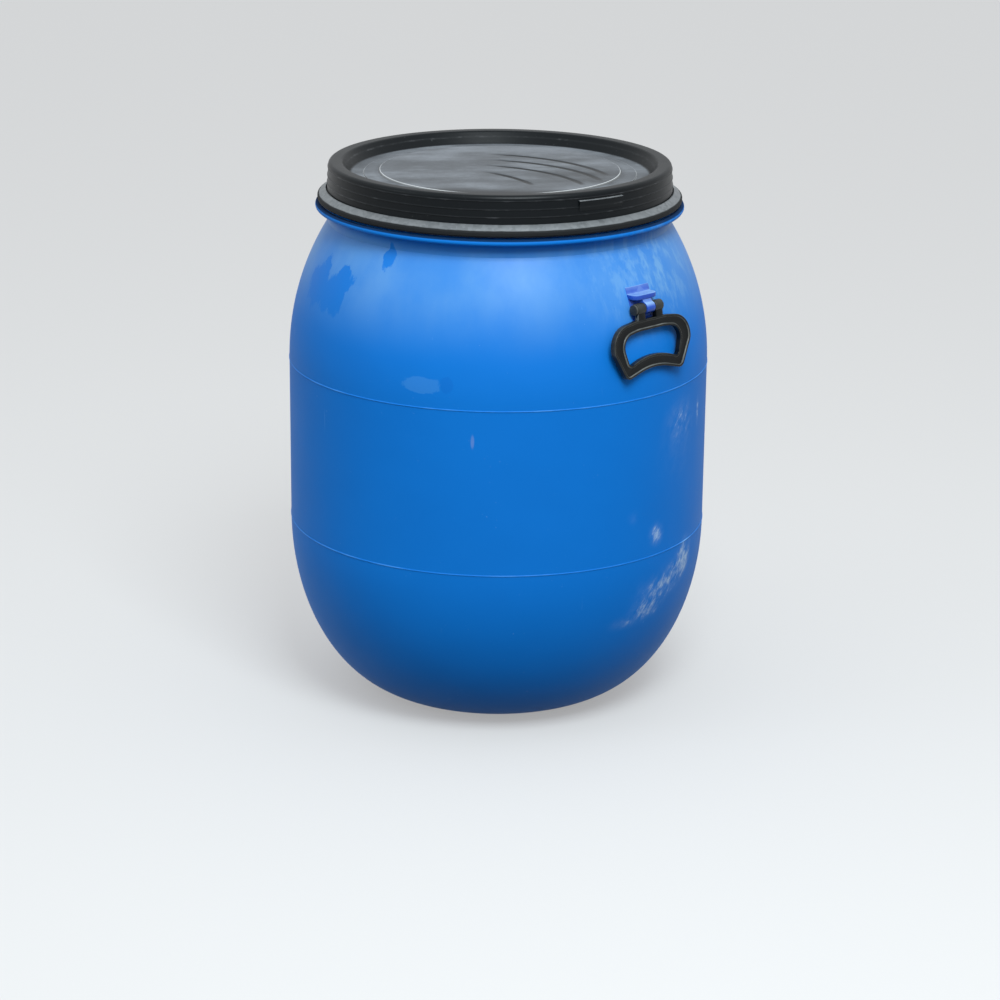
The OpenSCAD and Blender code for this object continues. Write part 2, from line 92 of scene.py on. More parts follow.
MOULD_LINE = 0.6
FOOT_R, FOOT_W, FOOT_RECESS = 130, 20, 8
RECESS_R, HUB_R = 98, 20
LOWER_H, SHOULDER_H = 252, 191.5
WALL, THROAT = 4.5, 3.5
RIM_H, LIP_T, NECK_H, LIP_OUT = 7.5, 8, 19, 7.2
body_r = box_mm("drum_body")[1][1] - MOULD_LINE
rim_z = box_mm("drum_body")[1][2]
lid_top = box_mm("lid")[1][2]
rim_r = box_mm("lid")[1][0]
mouth_r = rim_r - 18.5
neck_r = mouth_r + THROAT + WALL
lip_r = rim_r + LIP_OUT
lip_top = rim_z - RIM_H
lip_low = lip_top - LIP_T
shoulder_z = lip_low - NECK_H - SHOULDER_H
shoulder_arc = ((body_r - neck_r) ** 2 + SHOULDER_H**2) / (2 * (body_r - neck_r))
line_heights = (LOWER_H + 1.3, shoulder_z - 1.3)
print("wall radius", round(body_r, 2), "rim height", round(rim_z, 2), "lid top", round(lid_top, 2))


def wall_r(z):
    """The outer radius of the drum's wall at a height, up to the neck."""
    if z < LOWER_H:
        return FOOT_R + (body_r - FOOT_R) * math.sqrt(1 - ((LOWER_H - z) / LOWER_H) ** 2)
    if z < shoulder_z:
        return body_r
    return body_r - shoulder_arc + math.sqrt(shoulder_arc**2 - (z - shoulder_z) ** 2)


# %% [markdown]
# ## Helpers for round pieces
# The drum's wall and its lid are turned: each is one outline swept round the vertical
# axis. A Spin of a drawn outline would do it, and so would a Screw modifier. Here a circle
# is extruded ring by ring and each new ring is scaled to its radius, because the outline
# then stays a plain list of radii and heights.

# %% Selecting
def deselect_all():
    """Leaves edit mode and selects nothing, which every operator below counts on."""
    if bpy.context.object and bpy.context.object.mode != "OBJECT":
        bpy.ops.object.mode_set(mode="OBJECT")
    bpy.ops.object.select_all(action="DESELECT")


def only(piece):
    """Selects one piece alone and makes it active."""
    deselect_all()
    piece.select_set(True)
    bpy.context.view_layer.objects.active = piece


def settle(piece, name, smooth_angle=35):
    """Names a piece, moves its place into its mesh and smooths all but its sharp edges."""
    only(piece)
    bpy.ops.object.transform_apply(location=True, rotation=True, scale=True)
    bpy.ops.object.shade_smooth_by_angle(angle=math.radians(smooth_angle))
    piece.name = piece.data.name = name
    size = [round(d / MM, 1) for d in piece.dimensions]
    print(name, len(piece.data.polygons), "faces, size mm", size)
    return piece


# %% Rounded outlines
def rounded(corners, closed=False, chords=6):
    """Points of an outline whose corners, (x, y, radius) or (x, y), are rounded by arcs."""
    points = []
    for i, corner in enumerate(corners):
        here = Vector(corner[:2])
        radius = corner[2] if len(corner) > 2 else 0
        if not radius or (not closed and i in (0, len(corners) - 1)):
            points.append(tuple(here))
            continue
        back = (Vector(corners[i - 1][:2]) - here).normalized()
        on = (Vector(corners[(i + 1) % len(corners)][:2]) - here).normalized()
        half = back.angle(on) / 2
        centre = here + (back + on).normalized() * radius / math.sin(half)
        first = here + back * radius / math.tan(half) - centre
        last = here + on * radius / math.tan(half) - centre
        for k in range(chords + 1):
            spoke = first * (1 - k / chords) + last * k / chords
            points.append(tuple(centre + spoke.normalized() * radius))
    return points


# %% Turning an outline
TURN_POINTS = 240


def turned(name, outline, smooth_angle):
    """A turned piece. The outline is a list of (radius, height) in millimetres."""
    deselect_all()
    first_r, first_z = outline[0]
    bpy.ops.mesh.primitive_circle_add(vertices=TURN_POINTS, radius=first_r * MM,
                                      location=(0, 0, first_z * MM), fill_type="NOTHING")
    piece = bpy.context.object
    bpy.ops.object.mode_set(mode="EDIT")
    bpy.ops.mesh.select_mode(type="EDGE")
    bpy.ops.mesh.select_all(action="SELECT")
    for (r0, z0), (r1, z1) in zip(outline, outline[1:]):
        bpy.ops.mesh.extrude_edges_move(TRANSFORM_OT_translate={"value": (0, 0, (z1 - z0) * MM)})
        bpy.ops.transform.resize(value=(r1 / r0, r1 / r0, 1), center_override=(0, 0, 0))
    bpy.ops.mesh.edge_face_add()
    bpy.ops.mesh.select_all(action="DESELECT")
    bpy.ops.mesh.select_non_manifold()
    bpy.ops.mesh.edge_face_add()
    bpy.ops.mesh.select_all(action="SELECT")
    bpy.ops.mesh.normals_make_consistent(inside=False)
    return settle(piece, name, smooth_angle)


# %% Modifiers that are applied
def finish_modifier(piece, kind, **settings):
    """Adds one modifier, sets it and applies it."""
    only(piece)
    modifier = piece.modifiers.new("step", kind)
    for key, value in settings.items():
        setattr(modifier, key, value)
    bpy.ops.object.modifier_apply(modifier=modifier.name)


def combine(piece, other, operation):
    """Adds another piece to this one, or cuts it away, and removes the other."""
    finish_modifier(piece, "BOOLEAN", object=other, operation=operation, solver="EXACT")
    bpy.data.objects.remove(other, do_unlink=True)


# %% [markdown]
# ## The drum's body
# The real one is a tube of soft plastic blown out against a mould: a dished base, a lower
# end that rounds out like a quarter of an ellipse, a straight wall between two fine mould
# lines, a shoulder that is one long arc, a neck, a stout handling lip and a thin rim. The
# wall has a thickness, so the outline runs up the outside, over the rim and down inside.

# %% Body outline
ELLIPSE_STEPS = 44
SHOULDER_STEPS = 34


def lower_side(inset):
    """The rounded lower end, this far inside the outer surface."""
    turns = [math.radians(90 * i / ELLIPSE_STEPS) for i in range(ELLIPSE_STEPS + 1)]
    return [
        (
            FOOT_R + (body_r - FOOT_R - inset) * math.sin(t),
            LOWER_H - (LOWER_H - inset) * math.cos(t),
        )
        for t in turns
    ]


def shoulder_side(inset):
    """The shoulder's arc, this far inside the outer surface."""
    whole = math.asin(SHOULDER_H / shoulder_arc)
    turns = [whole * i / SHOULDER_STEPS for i in range(SHOULDER_STEPS + 1)]
    return [
        (
            body_r - shoulder_arc + (shoulder_arc - inset) * math.cos(t),
            shoulder_z + (shoulder_arc - inset) * math.sin(t),
        )
        for t in turns
    ]


def mould_line(z):
    """A fine line that stands out from the straight wall."""
    line_r = body_r + MOULD_LINE
    return [(body_r, z - 1), (line_r, z - 0.4), (line_r, z + 0.4), (body_r, z + 1)]


foot = rounded([
    (HUB_R, FOOT_RECESS), (RECESS_R, FOOT_RECESS, 8), (FOOT_R - FOOT_W, 0, 5), (FOOT_R, 0)
])
neck_and_lip = rounded([
    (neck_r, lip_low - 12), (neck_r, lip_low, 5), (lip_r, lip_low, 3.6), (lip_r, lip_top, 3.6),
    (mouth_r + 7, lip_top, 0.5), (mouth_r + 7, rim_z - 7.2, 0.1), (rim_r, rim_z - 3, 0.6),
    (rim_r, rim_z, 1), (mouth_r, rim_z, 1.5), (mouth_r, lip_low, 3),
    (mouth_r + THROAT, lip_low - 4, 3), (mouth_r + THROAT, lip_low - 12)
])
inside_foot = rounded([
    (FOOT_R, WALL), (FOOT_R - FOOT_W, WALL, 5), (RECESS_R, FOOT_RECESS + WALL, 8),
    (HUB_R, FOOT_RECESS + WALL)
])
body_outline = (
    foot[:-1] + lower_side(0) + mould_line(line_heights[0]) + mould_line(line_heights[1])
    + shoulder_side(0) + neck_and_lip + shoulder_side(WALL)[::-1] + lower_side(WALL)[::-1]
    + inside_foot[1:]
)

# %% Turn the body
body = turned("drum_shell", body_outline, smooth_angle=28)

# %% [markdown]
# ## The lid
# A deep moulded lid: a flat flange under the ring, an upright wall with three fine raised
# lines, a rounded ridge, a ledge, and a raised disc that has sunk into shallow ripples.
# The disc gets many rings so that there are enough points to press the ripples into it.

# %% Lid outline
DISH_D, LEDGE_W, DISC_RISE, LID_T, RIDGE_W = 17, 19.4, 5, 4, 31
lid_wall_low = rim_r - 9.1
lid_wall_top = lid_wall_low - 1.8
ridge_in = lid_wall_top - RIDGE_W + 1.9
ledge_z = lid_top - DISH_D
ledge_in = ridge_in - LEDGE_W
disc_r = ledge_in - 21.7
disc_z = ledge_z + DISC_RISE
flange_z = rim_z + 1.1
slot_mid = (mouth_r + rim_r) / 2 - 1.2
DISC_STEP = 2.5
LID_SMOOTH = 32
LID_LINE_DROPS = (7.6, 18.9, 29.1)
FLANGE_SLOPE = math.tan(math.radians(35.5))


def lid_wall_r(z):
    """The radius of the lid's leaning wall at a height."""
    rise, whole_rise = z - flange_z - 8, lid_top - 5 - flange_z - 8
    return lid_wall_low + (lid_wall_top - lid_wall_low) * rise / whole_rise


def lid_line(z):
    """A fine raised line round the lid's wall."""
    r = lid_wall_r(z)
    return [(r, z + 1.1), (r + 0.7, z + 0.5), (r + 0.7, z - 0.3), (r, z - 0.9)]


disc_rings = [(i * DISC_STEP, disc_z) for i in range(2, int((disc_r - 4) / DISC_STEP))]
lid_top_side = disc_rings + rounded([
    (disc_r - 3, disc_z), (disc_r - 0.4, disc_z, 1.6), (disc_r + 1.6, disc_z - 2.6, 1.2),
    (disc_r + 6, ledge_z + 1.7, 4), (ledge_in, ledge_z + 1, 0.3), (ledge_in + 0.3, ledge_z, 0.4),
    (ridge_in - 0.6, ledge_z, 2.2), (ridge_in + 10.4, lid_top - 0.3, 4.6),
    (lid_wall_top + 0.2, lid_top, 5.5), (lid_wall_r(lid_top - 6.6), lid_top - 6.6)
])
lid_lines = [p for drop in LID_LINE_DROPS for p in lid_line(lid_top - drop)]
flange_edge = flange_z + 2
lid_under = rounded([
    (lid_wall_low, flange_edge + (rim_r - lid_wall_low) * FLANGE_SLOPE, 0.8),
    (rim_r, flange_edge, 0.4), (rim_r, flange_z, 0.4), (slot_mid + 5.3, flange_z, 0.2),
    (slot_mid + 5.3, flange_z + 2.2, 0.2), (slot_mid - 5.3, flange_z + 2.2, 0.2),
    (slot_mid - 5.3, flange_z, 0.2), (mouth_r - 1, flange_z, 0.2), (mouth_r - 1, rim_z - 11, 1),
    (mouth_r - 5, rim_z - 11, 1), (mouth_r - 5, flange_z + 5.2, 1),
    (lid_wall_low - LID_T, flange_z + 5.2, 1), (lid_wall_top - LID_T, lid_top - 7, 3),
    (ridge_in + 14, lid_top - LID_T, 3), (ridge_in + 2, ledge_z - LID_T, 2),
    (ledge_in - 1, ledge_z - LID_T, 1), (ledge_in - 2, ledge_z + 1 - LID_T, 1),
    (disc_r + 3, ledge_z + 1 - LID_T, 2), (disc_r - 3, disc_z - LID_T, 2), (5, disc_z - LID_T)
])
lid = turned("lid_moulding", lid_top_side + lid_lines + lid_under, smooth_angle=LID_SMOOTH)

# %% [markdown]
# ## Ripples in the lid's disc
# As the moulded disc cooled it sank in four shallow curved ripples. Each ripple is part of
# a circle on the disc. Sculpting would do it, but a rule repeats: a point on the disc goes
# down by a soft bell of its distance from each ripple, faded out at both ends, and up by a
# smaller bell just outside the ripple.

# %% Press the ripples in
RIPPLE_DEEP, RIPPLE_HALF, RIPPLE_FADE = 1.3, 4.0, 14
CREST_SHARE, CREST_AWAY, CREST_HALF = 0.35, 9, 4
EDGE_FADE = 12
rippled_r = disc_r - 8
RIPPLES = [  # centre x, centre y, radius in millimetres, then start and end angle in degrees
    (35.6, -106.5, 207, 60, 132),
    (56.2, -124.0, 193, 58, 131),
    (64.4, -162.8, 192, 60, 126),
    (30.1, -210.5, 184, 62, 106),
]


def ripple_depth(x, y):
    """How far a place on the disc has sunk, in millimetres."""
    depth = 0
    for cx, cy, radius, start, end in RIPPLES:
        away = math.hypot(x - cx, y - cy) - radius
        angle = math.degrees(math.atan2(y - cy, x - cx))
        fade_in = min(1, max(0, (angle - start) / RIPPLE_FADE))
        fade_out = min(1, max(0, (end - angle) / RIPPLE_FADE))
        trough = math.exp(-((away / RIPPLE_HALF) ** 2))
        crest = math.exp(-(((away - CREST_AWAY) / CREST_HALF) ** 2))
        depth += fade_in * fade_out * (trough - CREST_SHARE * crest)
    edge = min(1, max(0, (rippled_r - math.hypot(x, y)) / EDGE_FADE))
    return RIPPLE_DEEP * depth * edge


for vertex in lid.data.vertices:
    on_top = vertex.co.z / MM > disc_z - 0.01
    if on_top and math.hypot(vertex.co.x, vertex.co.y) / MM < rippled_r:
        vertex.co.z -= ripple_depth(vertex.co.x / MM, vertex.co.y / MM) * MM

# %% [markdown]
# ## Finger ledges on the lid
# On each side the wall has a short ledge to pull the lid up by: flat on top and undercut
# below. A wedge is spun over its few degrees and joined to the wall with a Boolean.

# %% Sweep an outline part of the way round
def swept(name, outline, start, sweep, steps, smooth_angle=35):
    """A closed outline of (radius, height) in millimetres, spun from one angle through another."""
    deselect_all()
    bpy.ops.mesh.primitive_circle_add(vertices=len(outline), radius=1, fill_type="NGON")
    piece = bpy.context.object
    away = math.radians(start)
    for vertex, (r, z) in zip(piece.data.vertices, outline):
        vertex.co = Vector((r * math.cos(away), r * math.sin(away), z)) * MM
    bpy.ops.object.mode_set(mode="EDIT")
    bpy.ops.mesh.select_all(action="SELECT")
    bpy.ops.mesh.spin(steps=steps, angle=math.radians(-sweep), center=(0, 0, 0), axis=(0, 0, 1))
    bpy.ops.mesh.select_all(action="SELECT")
    bpy.ops.mesh.remove_doubles(threshold=1e-6)
    bpy.ops.mesh.normals_make_consistent(inside=False)
    return settle(piece, name, smooth_angle)


# %% Finger ledges
LEDGE_STARTS, LEDGE_SWEEP, LEDGE_STEPS, LEDGE_OUT = (-18.5, 161.5), 17, 12, 3.9
for start in LEDGE_STARTS:
    ledge = swept(
        "ledge",
        [
            (lid_wall_top - 1.5, lid_top - 26.5), (lid_wall_top + 1.4, lid_top - 24.8),
            (lid_wall_top + LEDGE_OUT, lid_top - 12), (lid_wall_top + LEDGE_OUT, lid_top - 10.6),
            (lid_wall_top - 1.5, lid_top - 9.6)
        ],
        start, LEDGE_SWEEP, LEDGE_STEPS
    )
    finish_modifier(ledge, "BEVEL", width=0.35 * MM, segments=2, limit_method="ANGLE")
    combine(lid, ledge, "UNION")
lid = settle(lid, "lid_moulding", LID_SMOOTH)

# %% [markdown]
# ## The closing ring
# A steel strip rolled into a V-shaped channel that pulls the lid's flange and the drum's
# rim together. It is split under the latch. The strip's outline is spun over all but the
# split, with soft bends where the rollers turned it. The bare offsets in the outline carry
# the strip's thickness round those bends.

# %% Closing ring
STEEL = 1.5
band_out = box_mm("ring_band")[1][0]
band_in = band_out - STEEL
LEG_SLOPE = math.tan(math.radians(20.6))
RING_GAP, RING_STEPS = 24, 236
top_tip, low_tip = lid_wall_low + 0.7, rim_r - 4
gap_deg = math.degrees(math.asin(RING_GAP / 2 / band_in))


def leg_top(r):
    """Height of the inner face of the ring's upper leg."""
    return flange_edge + (rim_r - r) * FLANGE_SLOPE + 0.368


def leg_low(r):
    """Height of the inner face of the ring's lower leg."""
    return rim_z - 3 - (rim_r - r) * LEG_SLOPE - 0.32


ring_outline = rounded([
    (top_tip, leg_top(top_tip), 0.3), (band_in, leg_top(band_in), 1),
    (band_in, leg_low(band_in), 1), (low_tip, leg_low(low_tip), 0.3),
    (low_tip + 0.53, leg_low(low_tip) - 1.40, 0.3), (band_out, leg_low(band_out) - 1.60, 2.2),
    (band_out, leg_top(band_out) + 1.84, 2.2), (top_tip + 0.87, leg_top(top_tip) + 1.22, 0.5)
], closed=True, chords=4)
ring = swept("closing_band", ring_outline, 90 + gap_deg, 360 - 2 * gap_deg, RING_STEPS, 30)

# %% [markdown]
# ## The handles
# Each handle is a flat frame with a raised rib along both its edges, an arched grip and
# two knuckles that turn on the pin. Two outlines are bridged into the frame's face, the
# face is extruded to its thickness, and an inset pushed inwards leaves the ribs standing.

# %% Handle outlines
pivot = next(j for j in frame["joints"] if j["name"] == "right_handle_swing")["pos_m"]
pivot_r, pivot_z = pivot[0] / MM, pivot[2] / MM
HANDLE_W, HANDLE_H, HANDLE_TOP, HANDLE_T, HANDLE_FRONT = 147, 76, 14, 8.5, 6
TOP_RUN, TOP_FALL, TOP_BAR, SIDE_BAR, GRIP_D = 28, 6, 14.5, 15, 17
SIDE_TAPER, OPENING_TAPER, GRIP_RISE, OPENING_RISE, ARCH_R = 20.5, 12, 14, 18.5, 107
RIB_W, RIB_H = 3.0, 1.9
WALL_GAP = 0.3
LOOP_POINTS = 132
half_w, half_open = HANDLE_W / 2, HANDLE_W / 2 - SIDE_BAR
widest, lowest = HANDLE_TOP + HANDLE_H * 0.5, HANDLE_TOP + HANDLE_H
opening_top = HANDLE_TOP + TOP_BAR
grip_slope = math.atan(GRIP_RISE / (half_w - SIDE_TAPER))
grip_low = lowest - GRIP_RISE + ARCH_R * (1 / math.cos(grip_slope) - 1)
handle_lean = max(
    math.asin((wall_r(pivot_z - down) + WALL_GAP + HANDLE_T - HANDLE_FRONT - pivot_r) / down)
    for down in (grip_low - GRIP_D + i for i in range(GRIP_D + 1))
)
outer_half = [(TOP_RUN, HANDLE_TOP, 80), (half_w, HANDLE_TOP + TOP_FALL, 30), (half_w, widest, 14),
              (half_w - SIDE_TAPER, lowest, 9)]
inner_half = [(TOP_RUN - 4, opening_top, 60), (half_open, opening_top + TOP_FALL - 1, 17),
              (half_open - OPENING_TAPER, lowest - GRIP_D, 6)]


def mirrored_loop(half, arch_top):
    """A closed outline from its right half, with the middle of its lower edge arched up."""
    left = [(-c[0], *c[1:]) for c in half[::-1]]
    return rounded([*half, (0, arch_top, ARCH_R), *left], closed=True, chords=10)


def evenly(points, count):
    """The same closed outline with its points spread evenly along it."""
    closed = [Vector(p) for p in points + points[:1]]
    spans = [(b - a).length for a, b in zip(closed, closed[1:])]
    step, spread, i, walked = sum(spans) / count, [], 0, 0.0
    for k in range(count):
        while walked + spans[i] < k * step:
            walked += spans[i]
            i += 1
        spread.append(closed[i].lerp(closed[i + 1], (k * step - walked) / spans[i]))
    return spread


# %% Handle frame
def handle_frame():
    """The frame, flat in the plane x = pivot, its outline's y pointing down."""
    loops = [mirrored_loop(outer_half, lowest - GRIP_RISE),
             mirrored_loop(inner_half, lowest - GRIP_D - OPENING_RISE)]
    deselect_all()
    halves = []
    for loop in loops:
        bpy.ops.mesh.primitive_circle_add(vertices=LOOP_POINTS, radius=1, fill_type="NOTHING")
        halves.append(bpy.context.object)
        for vertex, point in zip(halves[-1].data.vertices, evenly(loop, LOOP_POINTS)):
            vertex.co = Vector((pivot_r + HANDLE_FRONT, point[0], pivot_z - point[1])) * MM
    for half in halves:
        half.select_set(True)
    bpy.ops.object.join()
    piece = bpy.context.object
    bpy.ops.object.mode_set(mode="EDIT")
    bpy.ops.mesh.select_mode(type="EDGE")
    bpy.ops.mesh.select_all(action="SELECT")
    bpy.ops.mesh.bridge_edge_loops()
    bpy.ops.mesh.select_all(action="SELECT")
    bpy.ops.mesh.extrude_region_move(TRANSFORM_OT_translate={"value": (-HANDLE_T * MM, 0, 0)})
    bpy.ops.mesh.select_all(action="SELECT")
    bpy.ops.mesh.normals_make_consistent(inside=False)
    bpy.ops.mesh.select_mode(type="FACE")
    for facing in (1, -1):
        bpy.ops.mesh.select_all(action="DESELECT")
        bpy.ops.object.mode_set(mode="OBJECT")
        for face in piece.data.polygons:
            face.select = face.normal.x * facing > 0.9
        bpy.ops.object.mode_set(mode="EDIT")
        bpy.ops.mesh.inset(thickness=RIB_W * MM, depth=0)
        bpy.ops.mesh.inset(thickness=0.5 * MM, depth=-RIB_H * MM)
    bpy.ops.object.mode_set(mode="OBJECT")
    finish_modifier(piece, "BEVEL", width=1.1 * MM, segments=3, limit_method="ANGLE",
                    angle_limit=math.radians(50))
    return piece


# %% Knuckles and necks
PIN_R, PIN_PLAY, KNUCKLE_R, KNUCKLE_IN, KNUCKLE_OUT = 4, 0.08, 7.8, 9.5, 24


def along_pin(radius, y0, y1, bevel=0.0):
    """A cylinder round the handle's pivot line."""
    deselect_all()
    bpy.ops.mesh.primitive_cylinder_add(
        vertices=64, radius=radius * MM, depth=(y1 - y0) * MM,
        location=(pivot[0], (y0 + y1) / 2 * MM, pivot[2]), rotation=(math.pi / 2, 0, 0)
    )
    piece = bpy.context.object
    bpy.ops.object.transform_apply(location=True, rotation=True, scale=True)
    if bevel:
        finish_modifier(piece, "BEVEL", width=bevel * MM, segments=3, limit_method="ANGLE",
                        angle_limit=math.radians(50))
    return piece


def block(centre, size, bevel):
    """A block with eased edges, its centre and size in millimetres."""
    deselect_all()
    bpy.ops.mesh.primitive_cube_add(size=1, location=[c * MM for c in centre],
                                    scale=[s * MM for s in size])
    piece = bpy.context.object
    bpy.ops.object.transform_apply(location=True, rotation=True, scale=True)
    finish_modifier(piece, "BEVEL", width=bevel * MM, segments=2, limit_method="ANGLE")
    return piece


def handle(name, side):
    """A whole handle, on the +X side for side 1 and on the -X side for side -1."""
    piece = handle_frame()
    knuckle_mid, knuckle_w = (KNUCKLE_IN + KNUCKLE_OUT) / 2, KNUCKLE_OUT - KNUCKLE_IN
    neck_x, neck_z = pivot_r + HANDLE_FRONT - HANDLE_T / 2, pivot_z - HANDLE_TOP / 2 - 2
    neck_size = (HANDLE_T - 0.8, knuckle_w - 1.6, HANDLE_TOP + 1)
    for half in (-1, 1):
        low = half * knuckle_mid - knuckle_w / 2
        combine(piece, block((neck_x, half * knuckle_mid, neck_z), neck_size, 1), "UNION")
        combine(piece, along_pin(KNUCKLE_R, low, low + knuckle_w, 0.8), "UNION")
    combine(piece, along_pin(PIN_R + PIN_PLAY, -KNUCKLE_OUT - 2, KNUCKLE_OUT + 2), "DIFFERENCE")
    to_pivot, from_pivot = Matrix.Translation(pivot), Matrix.Translation(-Vector(pivot))
    turn = to_pivot @ Matrix.Rotation(-handle_lean, 4, "Y") @ from_pivot
    if side < 0:
        turn = Matrix.Rotation(math.pi, 4, "Z") @ turn
    piece.matrix_world = turn
    return settle(piece, name, 40)


handles = {side: handle(name, sign) for side, name, sign in
           (("right", "swing_handle_right", 1), ("left", "swing_handle_left", -1))}
for side in handles:
    print(side, "handle of the construction model, mm:", box_mm("handle_" + side))

# %% [markdown]
# ## Small moulded and pressed pieces
# The lugs, pins, brackets, rivets, lever and wire already have their true shape in the
# construction model, but its edges are sharp. Real moulded and pressed edges are eased and
# catch the light, so each piece is copied, its loose triangles are merged into clean
# faces, and a small bevel goes along every sharp edge.

# %% Eased copies
def eased(node, name, width):
    """A copy of a construction node with its sharp edges bevelled."""
    deselect_all()
    source = frame["nodes"][node]
    piece = source.copy()
    piece.data = source.data.copy()
    piece.parent = None
    piece.matrix_world = Matrix.Identity(4)
    bpy.context.collection.objects.link(piece)
    piece.data.materials.clear()
    only(piece)
    if piece.data.has_custom_normals:
        bpy.ops.mesh.customdata_custom_splitnormals_clear()
    bpy.ops.object.mode_set(mode="EDIT")
    bpy.ops.mesh.select_all(action="SELECT")
    bpy.ops.mesh.remove_doubles(threshold=2e-6)
    bpy.ops.mesh.mark_sharp(clear=True)
    bpy.ops.mesh.dissolve_limited(angle_limit=math.radians(1))
    bpy.ops.object.mode_set(mode="OBJECT")
    finish_modifier(piece, "BEVEL", width=width * MM, segments=2, limit_method="ANGLE",
                    angle_limit=math.radians(40), use_clamp_overlap=True)
    return settle(piece, name)


lugs = {side: eased("handle_lug_" + side, "lug_" + side, 0.7) for side in ("right", "left")}
pins = {side: eased("handle_pin_" + side, "pin_" + side, 0.6) for side in ("right", "left")}
lever = eased("lever", "latch_lever", 0.35)
fulcrum = eased("fulcrum_bracket", "latch_fulcrum", 0.3)
catch = eased("catch_bracket", "latch_catch", 0.35)
rivets = eased("ring_rivets", "latch_rivets", 0.25)
lever_pin = eased("lever_pin", "latch_pin", 0.25)
bail = eased("bail_link", "latch_bail", 0.15)

# %% [markdown]
# ## Shader maths
# A finish mixes many masks. Wired by hand, each sum is a Math node, so one small class
# wraps a socket and lets Python's operators place the nodes. Their reflected forms are
# there too, so that 1 - mask works.

# %% The signal, nodes and finish classes
class Signal:
    """The output of a shader node. Sums, differences and products of signals add Math nodes."""

    def __init__(self, nodes, socket):
        self.nodes, self.socket = nodes, socket

    def math(self, operation, first, second):
        return self.nodes.node("ShaderNodeMath", {"operation": operation}, {0: first, 1: second})

    def __add__(self, other):
        return self.math("ADD", self, other)

    def __sub__(self, other):
        return self.math("SUBTRACT", self, other)

    def __rsub__(self, other):
        return self.math("SUBTRACT", other, self)

    def __mul__(self, other):
        return self.math("MULTIPLY", self, other)

    __radd__, __rmul__ = __add__, __mul__


class Nodes:
    """The nodes of a material or of the world."""

    def __init__(self, tree):
        self.tree = tree

    def node(self, kind, settings=None, inputs=None, output=0):
        """Adds a node, sets it, fills its sockets and returns one of its outputs.

        The two stops of a colour ramp are set as (position, colour).
        """
        node = self.tree.nodes.new(kind)
        for key, value in (settings or {}).items():
            if key == "stops":
                for stop, (at, colour) in zip(node.color_ramp.elements, value):
                    stop.position, stop.color = at, (*colour, 1)
            else:
                setattr(node, key, value)
        for key, value in (inputs or {}).items():
            self.fill(node.inputs[key], value)
        return Signal(self, node.outputs[output])

    def fill(self, socket, value):
        """Links a signal to a socket, or sets the socket to a number, a vector or a colour."""
        if isinstance(value, Signal):
            self.tree.links.new(value.socket, socket)
        elif hasattr(value, "__len__") and len(value) == 3 and len(socket.default_value) == 4:
            socket.default_value = (*value, 1)
        else:
            socket.default_value = value


